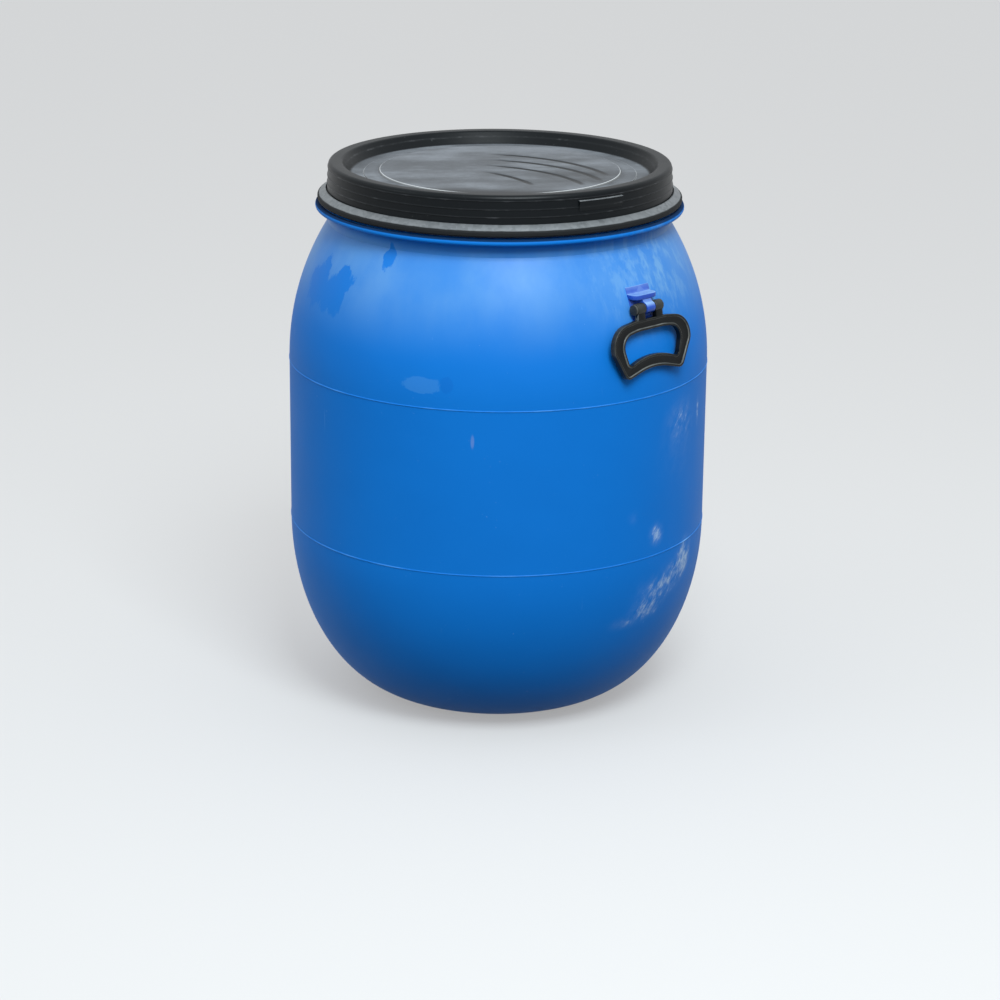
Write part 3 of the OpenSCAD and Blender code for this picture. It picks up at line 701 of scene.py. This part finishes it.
class Finish(Nodes):
    """A material in the making, on one piece's own coordinates."""

    def __init__(self, name):
        self.material = bpy.data.materials.new(name)
        self.material.use_nodes = True
        super().__init__(self.material.node_tree)
        self.shader = self.tree.nodes["Principled BSDF"]
        self.place = self.node("ShaderNodeTexCoord", output="Object")

    def noise(self, scale, detail=4, rough=0.55, longer=(1, 1, 1), turn=(0, 0, 0)):
        """Cloudy noise, scale to the metre, drawn out along the axes of a turned frame."""
        at = self.place
        if longer != (1, 1, 1):
            at = self.node("ShaderNodeMapping", {"vector_type": "TEXTURE"},
                           {"Vector": at, "Rotation": turn, "Scale": longer})
        return self.node("ShaderNodeTexNoise", {}, {"Vector": at, "Scale": scale, "Detail": detail,
                                                    "Roughness": rough})

    def step(self, value, low, high):
        """0 below low, 1 above high and smooth between them."""
        return self.node("ShaderNodeMapRange", {"interpolation_type": "SMOOTHSTEP"},
                         {"Value": value, "From Min": low, "From Max": high})

    def mix(self, factor, first, second):
        """Blends two colours, through a Mix node's sockets for colours."""
        return self.node("ShaderNodeMix", {"data_type": "RGBA"},
                         {0: factor, 6: first, 7: second}, 2)

    def axis(self, letter):
        """One coordinate of the place, in metres."""
        return self.node("ShaderNodeSeparateXYZ", {}, {0: self.place}, letter)

    def spot(self, centre, size):
        """1 at a centre, falling to 0 at the surface of an ellipsoid of this half size."""
        offset = self.node("ShaderNodeVectorMath", {"operation": "SUBTRACT"},
                           {0: self.place, 1: centre})
        scaled = self.node("ShaderNodeVectorMath", {"operation": "DIVIDE"}, {0: offset, 1: size})
        reach = self.node("ShaderNodeVectorMath", {"operation": "LENGTH"}, {0: scaled}, "Value")
        return self.step(reach, 1.0, 0.0)

    def between(self, value, start, full, fade, gone):
        """1 between the two middle values, falling to 0 at the two outer ones."""
        return self.step(value, start, full) * self.step(value, gone, fade)

    def near(self, value, target, far, close):
        """1 where a value is within close of a target, falling to 0 where it is far off."""
        away = self.node("ShaderNodeMath", {"operation": "ABSOLUTE"}, {0: value - target})
        return self.step(away, far, close)

    def radius(self):
        """The distance from the drum's upright axis, in metres."""
        x, y = self.axis("X"), self.axis("Y")
        return self.node("ShaderNodeMath", {"operation": "SQRT"}, {0: x * x + y * y})

    def facing_up(self, low, high):
        """0 where the normal's upward part is below low, rising to 1 where it is above high."""
        normal = self.node("ShaderNodeNewGeometry", output="Normal")
        return self.step(self.node("ShaderNodeSeparateXYZ", {}, {0: normal}, "Z"), low, high)

    def bump(self, height, distance):
        """Feeds fine relief to the shader. The distance in metres scales the height signal."""
        normal = self.node("ShaderNodeBump", {},
                           {"Height": height, "Distance": distance, "Strength": 1.0})
        self.fill(self.shader.inputs["Normal"], normal)

    def finished(self, colour, roughness, **constants):
        """Connects the colour and roughness and sets the shader's constants."""
        self.fill(self.shader.inputs["Base Color"], colour)
        self.fill(self.shader.inputs["Roughness"], roughness)
        for key, value in constants.items():
            self.fill(self.shader.inputs[key.replace("_", " ")], value)
        return self.material


# %% [markdown]
# ## Blue moulded plastic
# Coloured right through, so wear doesn't change its hue, but dust and chalk do. Over a
# slowly mottled blue come a dusty haze high on the shoulder with wiped patches in it, a
# streaky pale patch near +X that is partly dust and partly a painted sheen, chalk scuffs low
# on one side, a pale oval mark, worn mould lines, a painted shadow of the ring on top of the
# lip, and last the specks, nicks and one rubbed stroke.

# %% Places on the wall
def on_wall(degrees, z):
    """A point on the drum's wall, in metres, at an angle round from +X and a height in mm."""
    away = math.radians(degrees)
    return (wall_r(z) * math.cos(away) * MM, wall_r(z) * math.sin(away) * MM, z * MM)


def patch_size(wide, tall, growth):
    """The half size of a patch, grown by a factor because its edge fades inwards."""
    return (wide * growth, wide * growth, tall * growth)


HAZE_HEIGHTS = (0.535, 0.655, 0.676, 0.690)  # metres: starts, full, fades, gone
# Heights in metres of the painted shadow that the ring casts on the lip's top: starts, full,
# fades, gone.
LIP_SHADOW_HEIGHTS = (0.6978, 0.6994, 0.7012, 0.7030)
# A streaky pale patch high on the shoulder near +X: partly dust, partly a painted sheen.
DUST_SHEEN_AT, DUST_SHEEN_HALF = on_wall(10, 640), (0.17, 0.17, 0.11)
OVAL_AT, OVAL_HALF = on_wall(-64.8, 511), (0.040, 0.040, 0.0165)
STAIN_AT, STAIN_HALF = on_wall(-57.8, 514), (0.014, 0.014, 0.017)
STROKE_AT, STROKE_HALF = on_wall(-50.9, 439), (0.0045, 0.0045, 0.017)
WIPED_GROWTH, CHALK_GROWTH = 1.6, 1.3
SMEAR_TURN = (-0.72, 0, 0)
CHALK = [  # angle, height in mm, half width, half height in metres and strength
    (3.5, 283, 0.018, 0.020, 0.95),
    (19.0, 232, 0.026, 0.034, 1.00),
    (14.5, 214, 0.034, 0.036, 0.62),
    (8.5, 207, 0.036, 0.030, 0.62),
    (0.5, 198, 0.036, 0.030, 0.45),
    (4.5, 178, 0.034, 0.024, 0.62),
    (-1.5, 168, 0.028, 0.020, 0.55),
    (-7.5, 163, 0.026, 0.013, 0.45),
    (-5.5, 316, 0.012, 0.014, 0.35),
    (14.5, 437, 0.048, 0.038, 0.50),
    (25.6, 430, 0.007, 0.026, 1.00),
    (13.0, 395, 0.060, 0.060, 0.30),
]
WIPED = [  # angle, height in mm, half width, half height in metres
    (-95.6, 624, 0.022, 0.022),
    (-100.5, 600, 0.036, 0.034),
    (-81.3, 664, 0.014, 0.024),
    (-110.0, 610, 0.030, 0.044),
]


# %% Blue finish
def blue_finish():
    """The drum's wall: mottled blue under hazy dust, a painted sheen, chalk, marks and a painted
    shadow on the lip.
    """
    f = Finish("blue_plastic")
    height = f.axis("Z")
    plain = f.mix(f.noise(5, 3), (0.0012, 0.144, 0.530), (0.0016, 0.168, 0.595))
    ragged = f.noise(45, 5, 0.65, (1, 1, 3.2))
    cloud = f.step(f.noise(9, 5, 0.6, (1, 1, 1.8)), 0.34, 0.66)
    wiped = 0.0
    for degrees, z, wide, tall in WIPED:
        patch = f.spot(on_wall(degrees, z), patch_size(wide, tall, WIPED_GROWTH))
        wiped = f.step(patch + (ragged - 0.5) * 1.9, 0.35, 0.65) + wiped
    kept = f.step(wiped, 0.9, 0.1)
    # Partly dust and partly a painted sheen, in one patch high on the shoulder.
    dusty_and_sheen = f.spot(DUST_SHEEN_AT, DUST_SHEEN_HALF)
    runs = f.noise(70, 5, 0.65, (1, 1, 7))
    rise = f.between(height, *HAZE_HEIGHTS)
    haze_and_sheen = (rise * (cloud * 0.5 + 0.5) + dusty_and_sheen * f.step(runs, 0.46, 0.64) * 0.8) * kept
    colour = f.mix(haze_and_sheen * 0.16, plain, (0.50, 0.76, 0.64))
    streaks = f.noise(230, 6, 0.7, (1, 1, 3.6), SMEAR_TURN)
    chalky = 0.0
    for degrees, z, wide, tall, strength in CHALK:
        patch = f.spot(on_wall(degrees, z), patch_size(wide, tall, CHALK_GROWTH))
        chalky = patch * strength + chalky
    chalky = f.step(chalky, 0.0, 1.15)
    dabs = f.noise(85, 4, 0.65, (1, 1, 1.8), SMEAR_TURN)
    chalk = f.step(streaks * 0.5 + dabs * 0.5 + chalky * 0.22, 0.62, 0.80)
    chalk = chalk * f.step(chalky, 0.0, 0.40)
    film = chalky * f.step(dabs, 0.25, 0.75) * 0.30
    colour = f.mix(chalk * 0.62 + film, colour, (0.44, 0.58, 0.76))
    frayed = f.noise(120, 4) - 0.5
    oval = f.step(f.spot(OVAL_AT, OVAL_HALF) + frayed * 0.7, 0.20, 0.34)
    colour = f.mix(oval * 0.10, colour, (0.20, 0.50, 0.78))
    stain = f.step(f.spot(STAIN_AT, STAIN_HALF) + frayed * 0.5, 0.2, 0.4)
    colour = f.mix(stain * 0.25, colour, (0.001, 0.10, 0.45))
    worn = f.step(f.noise(22, 4), 0.40, 0.70)
    for line_z in line_heights:
        line = f.near(height, line_z * MM, 0.0013, 0.0005)
        colour = f.mix(line * (worn * 0.20 + chalky * 0.9 + 0.02), colour, (0.20, 0.48, 0.82))
    # A painted shadow of the closing ring, nearly black, on top of the lip.
    outside = f.step(f.radius(), (rim_r - 1.5) * MM, (rim_r - 0.5) * MM)
    grime_and_painted_shade = f.between(height, *LIP_SHADOW_HEIGHTS) * outside
    colour = f.mix(grime_and_painted_shade * 0.92, colour, (0.001, 0.008, 0.030))
    specks = f.step(f.noise(330, 2, 0.5), 0.735, 0.78) * f.step(f.noise(14, 3), 0.45, 0.7)
    colour = f.mix(specks * 0.55, colour, (0.30, 0.50, 0.80))
    nicks = f.step(f.noise(150, 2, 0.4, (1, 1, 14)), 0.745, 0.79)
    nicks = nicks * f.step(f.noise(11, 2), 0.48, 0.62)
    colour = f.mix(nicks * 0.30, colour, (0.14, 0.36, 0.74))
    rubbed = f.step(f.spot(STROKE_AT, STROKE_HALF), 0.2, 0.8) * (runs + 0.2)
    colour = f.mix(rubbed * 0.5, colour, (0.24, 0.30, 0.55))
    roughness = f.noise(16, 4) * 0.08 + 0.50 - rise * 0.16 + grime_and_painted_shade * 0.5 + chalk * 0.2
    f.bump(f.noise(420, 3, 0.5) * 0.12 + f.noise(7, 2) * 6 + streaks * chalk * 0.3, 0.00025)
    return f.finished(colour, roughness, Specular_IOR_Level=0.155)


# %% [markdown]
# ## Black moulded plastic
# The lid's black is grey where it faces the sky, partly with dust and partly as a painted
# sheen. Painted shade darkens that grey in the ripples and on the +X -Y side, painted
# highlights run along the disc's rim, the ledge's inner edge and the finger ledges' tops, and
# its fine lines are rubbed pale. The handles are a harder black plastic, with painted olive
# grey highlights along their ribs.

# %% Lid finish
COS_45 = 0.7071
# The dish's +X -Y side gets painted shade, as less grey.
SHADED_SIDE = (0.125, 0.165)  # metres from the middle towards +X -Y: starts, full
LEDGE_HIGHLIGHT_DROPS = (13, 12, 9, 8)  # millimetres below the lid's top


def lid_finish():
    """The lid: nearly black, and grey on what faces up from a dusting and a painted sheen."""
    f = Finish("lid_plastic")
    up, radius = f.facing_up(0.45, 0.97), f.radius()
    x, y, height = f.axis("X"), f.axis("Y"), f.axis("Z")
    cloudy = f.noise(6, 5, 0.6)
    grain = f.noise(170, 4, 0.7)
    wiped = f.step(f.noise(13, 4, 0.6, (3.5, 1, 1), (0, 0, 0.9)), 0.40, 0.66)
    inside = f.step(radius, (ridge_in + 1) * MM, (ridge_in - 4) * MM)
    # Painted shade: less grey on the dish's +X -Y side.
    painted_side_shade = f.step((x - y) * COS_45, *SHADED_SIDE) * 0.8
    ledge_dust = f.step(radius, (disc_r + 4) * MM, (disc_r + 9) * MM) * 0.12 + 1
    # The grey on what faces up is partly dust and partly a painted sheen.
    dust_and_sheen = up * (inside * (1 - painted_side_shade) * ledge_dust * 0.95 + 0.04)
    dust_and_sheen = dust_and_sheen * (f.step(cloudy, 0.28, 0.70) * 0.45 + 0.55) * (wiped * 0.4 + 0.6)
    dust_and_sheen = dust_and_sheen * (grain * 0.5 + 0.75)
    flat_place = f.node("ShaderNodeCombineXYZ", {}, {0: x, 1: y})
    # Painted shade along the ripples, where the grey is taken out.
    sunk = 0.0
    for cx, cy, reach, start, end in RIPPLES:
        away = f.node("ShaderNodeVectorMath", {"operation": "DISTANCE"},
                      {0: flat_place, 1: (cx * MM, cy * MM, 0)}, "Value")
        line = f.near(away, reach * MM, 0.0062, 0.0016)
        angle = f.node("ShaderNodeMath", {"operation": "ARCTAN2"},
                       {0: y - cy * MM, 1: x - cx * MM})
        ends = f.between(angle, *(math.radians(a) for a in (start, start + 12, end - 22, end)))
        sunk = line * ends + sunk
    on_disc = f.step(radius, (disc_r - 6) * MM, (disc_r - 10) * MM)
    dust_and_sheen = dust_and_sheen * (1 - f.step(sunk, 0.0, 0.9) * on_disc * 0.95)
    colour = f.mix(f.step(dust_and_sheen, 0.0, 1.15), (0.0032, 0.0046, 0.0058), (0.195, 0.210, 0.232))
    # Painted highlights along the disc's rounded rim and the ledge's inner edge.
    edges = 0.0
    for edge_r, half, amount in ((disc_r + 0.3, 1.6, 1.4), (ledge_in + 0.2, 1.0, 0.6)):
        edge = f.near(radius, edge_r * MM, half * MM, half * 0.3 * MM)
        edges = edge * up * amount * (cloudy + 0.35) + edges
    colour = f.mix(f.step(edges, 0.0, 1.0), colour, (0.55, 0.56, 0.57))
    rubbed = f.step(f.noise(55, 4, 0.6, (1, 1, 0.35)), 0.50, 0.72)
    # Painted highlights on the finger ledges' tops.
    ledges = f.between(height, *((lid_top - drop) * MM for drop in LEDGE_HIGHLIGHT_DROPS))
    ledge_highlights = up * ledges * f.step(radius, (ridge_in + 20) * MM, (ridge_in + 21) * MM)
    colour = f.mix(ledge_highlights * (rubbed * 0.5 + 0.5), colour, (0.24, 0.25, 0.26))
    for drop in LID_LINE_DROPS:
        line = f.near(height, (lid_top - drop) * MM, 0.0014, 0.0006)
        colour = f.mix(line * (rubbed * 0.5 + 0.08), colour, (0.060, 0.062, 0.066))
    specks = f.step(f.noise(420, 2), 0.715, 0.76) * f.step(cloudy, 0.45, 0.6)
    colour = f.mix(specks * 0.5, colour, (0.16, 0.16, 0.165))
    roughness = cloudy * 0.14 + 0.30 + dust_and_sheen * 0.16
    f.bump(grain * 0.25 + f.noise(14, 3) * 1.2, 0.0003)
    return f.finished(colour, roughness, Specular_IOR_Level=0.16)


# %% Handle and pin finish
def hard_black(name, highlight_share):
    """Hard black plastic with painted pale highlights along its ridges, by this share."""
    f = Finish(name)
    # Painted highlights along the ridges, found by their pointiness.
    ridge_highlight = f.step(f.node("ShaderNodeNewGeometry", output="Pointiness"), 0.515, 0.575)
    patchy = f.step(f.noise(38, 4, 0.6), 0.35, 0.7)
    grime_and_painted_shade = f.noise(120, 5, 0.65)
    colour = f.mix(patchy * 0.5, (0.0018, 0.0026, 0.0030), (0.0046, 0.0056, 0.0058))
    colour = f.mix(ridge_highlight * (patchy * 0.6 + 0.4) * highlight_share, colour, (0.210, 0.218, 0.205))
    f.bump(grime_and_painted_shade, 0.00015)
    return f.finished(colour, grime_and_painted_shade * 0.18 + 0.24, Specular_IOR_Level=0.22)


# %% Lug finish
def lug_finish():
    """Deep violet-blue plastic, paler where it faces up, from a dusting and a painted sheen."""
    f = Finish("violet_plastic")
    colour = f.mix(f.noise(24, 4), (0.009, 0.050, 0.360), (0.014, 0.078, 0.450))
    # Paler on what faces up: partly dust, partly a painted sheen.
    dusty_and_sheen = f.facing_up(0.22, 0.95) * (f.step(f.noise(50, 4), 0.3, 0.65) * 0.4 + 0.6)
    colour = f.mix(dusty_and_sheen * 0.60, colour, (0.30, 0.50, 0.72))
    scuffs = f.step(f.noise(160, 4, 0.6, (1, 1, 3)), 0.64, 0.76)
    colour = f.mix(scuffs * 0.35, colour, (0.14, 0.22, 0.62))
    f.bump(f.noise(260, 3), 0.00015)
    return f.finished(colour, f.noise(40) * 0.15 + 0.26, Specular_IOR_Level=0.4)


# %% [markdown]
# ## Steel
# The ring is galvanised strip: grey spangle on its sloping legs, with a nearly black painted
# reflection on the upright web and a nearly black painted shadow beside the lid. The latch is
# zinc plated, so it is brighter and smoother, with the faint lines of rolling and a little
# white bloom.

# %% Ring finish
def ring_finish():
    """Galvanised strip: spangle between a painted shadow beside the lid and a painted dark
    reflection on the web.
    """
    f = Finish("ring_steel")
    cloudy = f.noise(40, 5, 0.65)
    flakes = f.node("ShaderNodeTexVoronoi", {}, {"Vector": f.place, "Scale": 210}, "Color")
    spangle = f.node("ShaderNodeSeparateXYZ", {}, {0: flakes})
    bright = f.mix(spangle, (0.185, 0.20, 0.21), (0.265, 0.285, 0.30))
    bright = f.mix(f.step(cloudy, 0.35, 0.75) * 0.6, bright, (0.285, 0.30, 0.31))
    ragged = f.radius() + (cloudy - 0.5) * 0.0022
    # Two nearly black bands: a painted dark reflection on the upright web and a painted shadow
    # beside the lid.
    outer = f.step(ragged, (band_out - 3.4) * MM, (band_out - 1.4) * MM)
    inner = f.step(ragged, (lid_wall_low + 3.2) * MM, (lid_wall_low + 0.8) * MM)
    painted_dark_bands = f.step(outer + inner, 0.0, 1.0)
    colour = f.mix(painted_dark_bands * 0.98, bright, (0.0030, 0.0034, 0.0040))
    roughness = f.noise(90, 4) * 0.15 + 0.38 + painted_dark_bands * 0.25
    f.bump(f.noise(300, 3) * 0.5 + cloudy, 0.0001)
    metallic = f.step(painted_dark_bands, 1.0, 0.0) * 0.85 + 0.02
    f.fill(f.shader.inputs["Metallic"], metallic)
    return f.finished(colour, roughness, Specular_IOR_Level=0.2)


# %% Zinc finish
def zinc_finish(name, brightness, drawn=(6, 6, 1)):
    """Zinc plate with white bloom, its rolling lines drawn out along the axes."""
    f = Finish(name)
    rolled = f.noise(90, 3, 0.5, drawn)
    bloom = f.step(f.noise(28, 5, 0.65), 0.55, 0.75)
    low, high = brightness * 0.82, brightness * 1.08
    colour = f.mix(rolled, (low, low, low * 1.02), (high, high, high * 0.98))
    colour = f.mix(bloom * 0.4, colour, (0.62, 0.62, 0.60))
    f.fill(f.shader.inputs["Metallic"], f.step(bloom, 1.4, -0.2))
    f.bump(rolled, 0.00008)
    return f.finished(colour, rolled * 0.18 + 0.22 + bloom * 0.25)


# %% Gasket finish
def gasket_finish():
    """Dull dark rubber with fine pores."""
    f = Finish("gasket_rubber")
    pores = f.noise(700, 3, 0.6)
    colour = f.mix(pores, (0.016, 0.016, 0.017), (0.040, 0.040, 0.041))
    f.bump(pores, 0.0003)
    return f.finished(colour, 0.82)


# %% [markdown]
# ## Put the finishes on
# Every new piece takes its finish, hides its construction node and rides on the body that
# the node rides on. The gasket's node has the right shape already, so it stays and only gets
# the better finish.

# %% Finishes, bodies and nodes
blue, black = blue_finish(), lid_finish()
handle_black, pin_black = hard_black("handle_plastic", 0.7), hard_black("pin_plastic", 1.0)
violet, ring_steel = lug_finish(), ring_finish()
bracket_zinc = zinc_finish("bracket_steel", 0.46)
lever_zinc = zinc_finish("lever_steel", 0.52)
rivet_zinc = zinc_finish("rivet_steel", 0.58)
wire_zinc = zinc_finish("wire_steel", 0.56, (8, 1, 1))


def place(piece, node, body_name, material):
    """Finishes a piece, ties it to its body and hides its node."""
    piece.data.materials.clear()
    piece.data.materials.append(material)
    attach(piece, body_name)
    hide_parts(node)


place(body, "drum_body", "drum", blue)
place(lid, "lid", "lid", black)
place(ring, "ring_band", "closing_ring", ring_steel)
for side in ("right", "left"):
    place(handles[side], "handle_" + side, side + "_handle", handle_black)
    place(lugs[side], "handle_lug_" + side, "drum", violet)
    place(pins[side], "handle_pin_" + side, "drum", pin_black)
place(fulcrum, "fulcrum_bracket", "closing_ring", bracket_zinc)
place(catch, "catch_bracket", "closing_ring", bracket_zinc)
place(rivets, "ring_rivets", "closing_ring", rivet_zinc)
place(lever_pin, "lever_pin", "closing_ring", rivet_zinc)
place(lever, "lever", "ring_lever", lever_zinc)
place(bail, "bail_link", "ring_bail", wire_zinc)
for material_slot in frame["nodes"]["lid_gasket"].material_slots:
    material_slot.material = gasket_finish()

# %% [markdown]
# ## Floor and light
# A pale studio: a floor that runs past every edge of the picture, a soft sky that is
# brighter overhead, one broad lamp high on the right that gives the shoulder its sheen, and
# a weak one from the left, both slightly cool. Camera, glossy and transmitted rays see a
# pale floor. The light that it throws on the drum is a darker floor's, so the rounded lower
# end falls into shade.

# %% Floor
deselect_all()
bpy.ops.mesh.primitive_plane_add(size=60, location=(0, 0, 0))
floor = bpy.context.object
floor.name = "studio_floor"
paint = Finish("floor_paint")
dull = paint.node("ShaderNodeBsdfDiffuse", {}, {"Color": (0.05, 0.05, 0.055)})
matt = paint.node("ShaderNodeBsdfDiffuse", {}, {"Color": (0.56, 0.56, 0.56)})
glow = paint.node("ShaderNodeEmission", {}, {"Color": (0.90, 0.90, 0.90)})
pale = paint.node("ShaderNodeMixShader", {}, {0: 0.38, 1: matt, 2: glow})
camera_ray, glossy_ray, clear_ray = [
    paint.node("ShaderNodeLightPath", output=ray)
    for ray in ("Is Camera Ray", "Is Glossy Ray", "Is Transmission Ray")
]
seen_directly = camera_ray + glossy_ray + clear_ray
seen_floor = paint.node("ShaderNodeMixShader", {}, {0: seen_directly, 1: dull, 2: pale})
paint.fill(paint.tree.nodes["Material Output"].inputs["Surface"], seen_floor)
floor.data.materials.append(paint.material)

# %% World
world = bpy.data.worlds.new("studio_sky")
bpy.context.scene.world = world
world.use_nodes = True
sky = Nodes(world.node_tree)
direction = sky.node("ShaderNodeTexCoord", output="Generated")
upward = sky.node("ShaderNodeSeparateXYZ", {}, {0: direction}, "Z")
LOW_SKY = (0, (0.60, 0.61, 0.62))  # upward part of the direction, then colour
HIGH_SKY = (0.85, (0.93, 0.97, 1.0))
SKY_STRENGTH = 1.04
sky_colour = sky.node("ShaderNodeValToRGB", {"stops": (LOW_SKY, HIGH_SKY)}, {"Fac": upward})
background = world.node_tree.nodes["Background"]
sky.fill(background.inputs["Color"], sky_colour)
sky.fill(background.inputs["Strength"], SKY_STRENGTH)


# %% Lamps
def soft_lamp(name, location, target, size, power):
    """A square area lamp of slightly cool light that faces a point."""
    deselect_all()
    bpy.ops.object.light_add(type="AREA", location=location)
    lamp = bpy.context.object
    lamp.name, lamp.data.energy, lamp.data.size = name, power, size
    lamp.data.color = (0.88, 0.97, 1.0)
    lamp.rotation_euler = (Vector(target) - Vector(location)).to_track_quat("-Z", "Y").to_euler()


soft_lamp("high_window", (1.84, -1.06, 2.77), (0, 0, 0.55), 1.3, 91)
soft_lamp("left_window", (-1.4, -3.0, 2.0), (0, 0, 0.4), 1.6, 13)

# %% [markdown]
# ## Finish
# The picture keeps plain colours.

# %% Finish
bpy.context.scene.view_settings.view_transform = "Standard"
deselect_all()
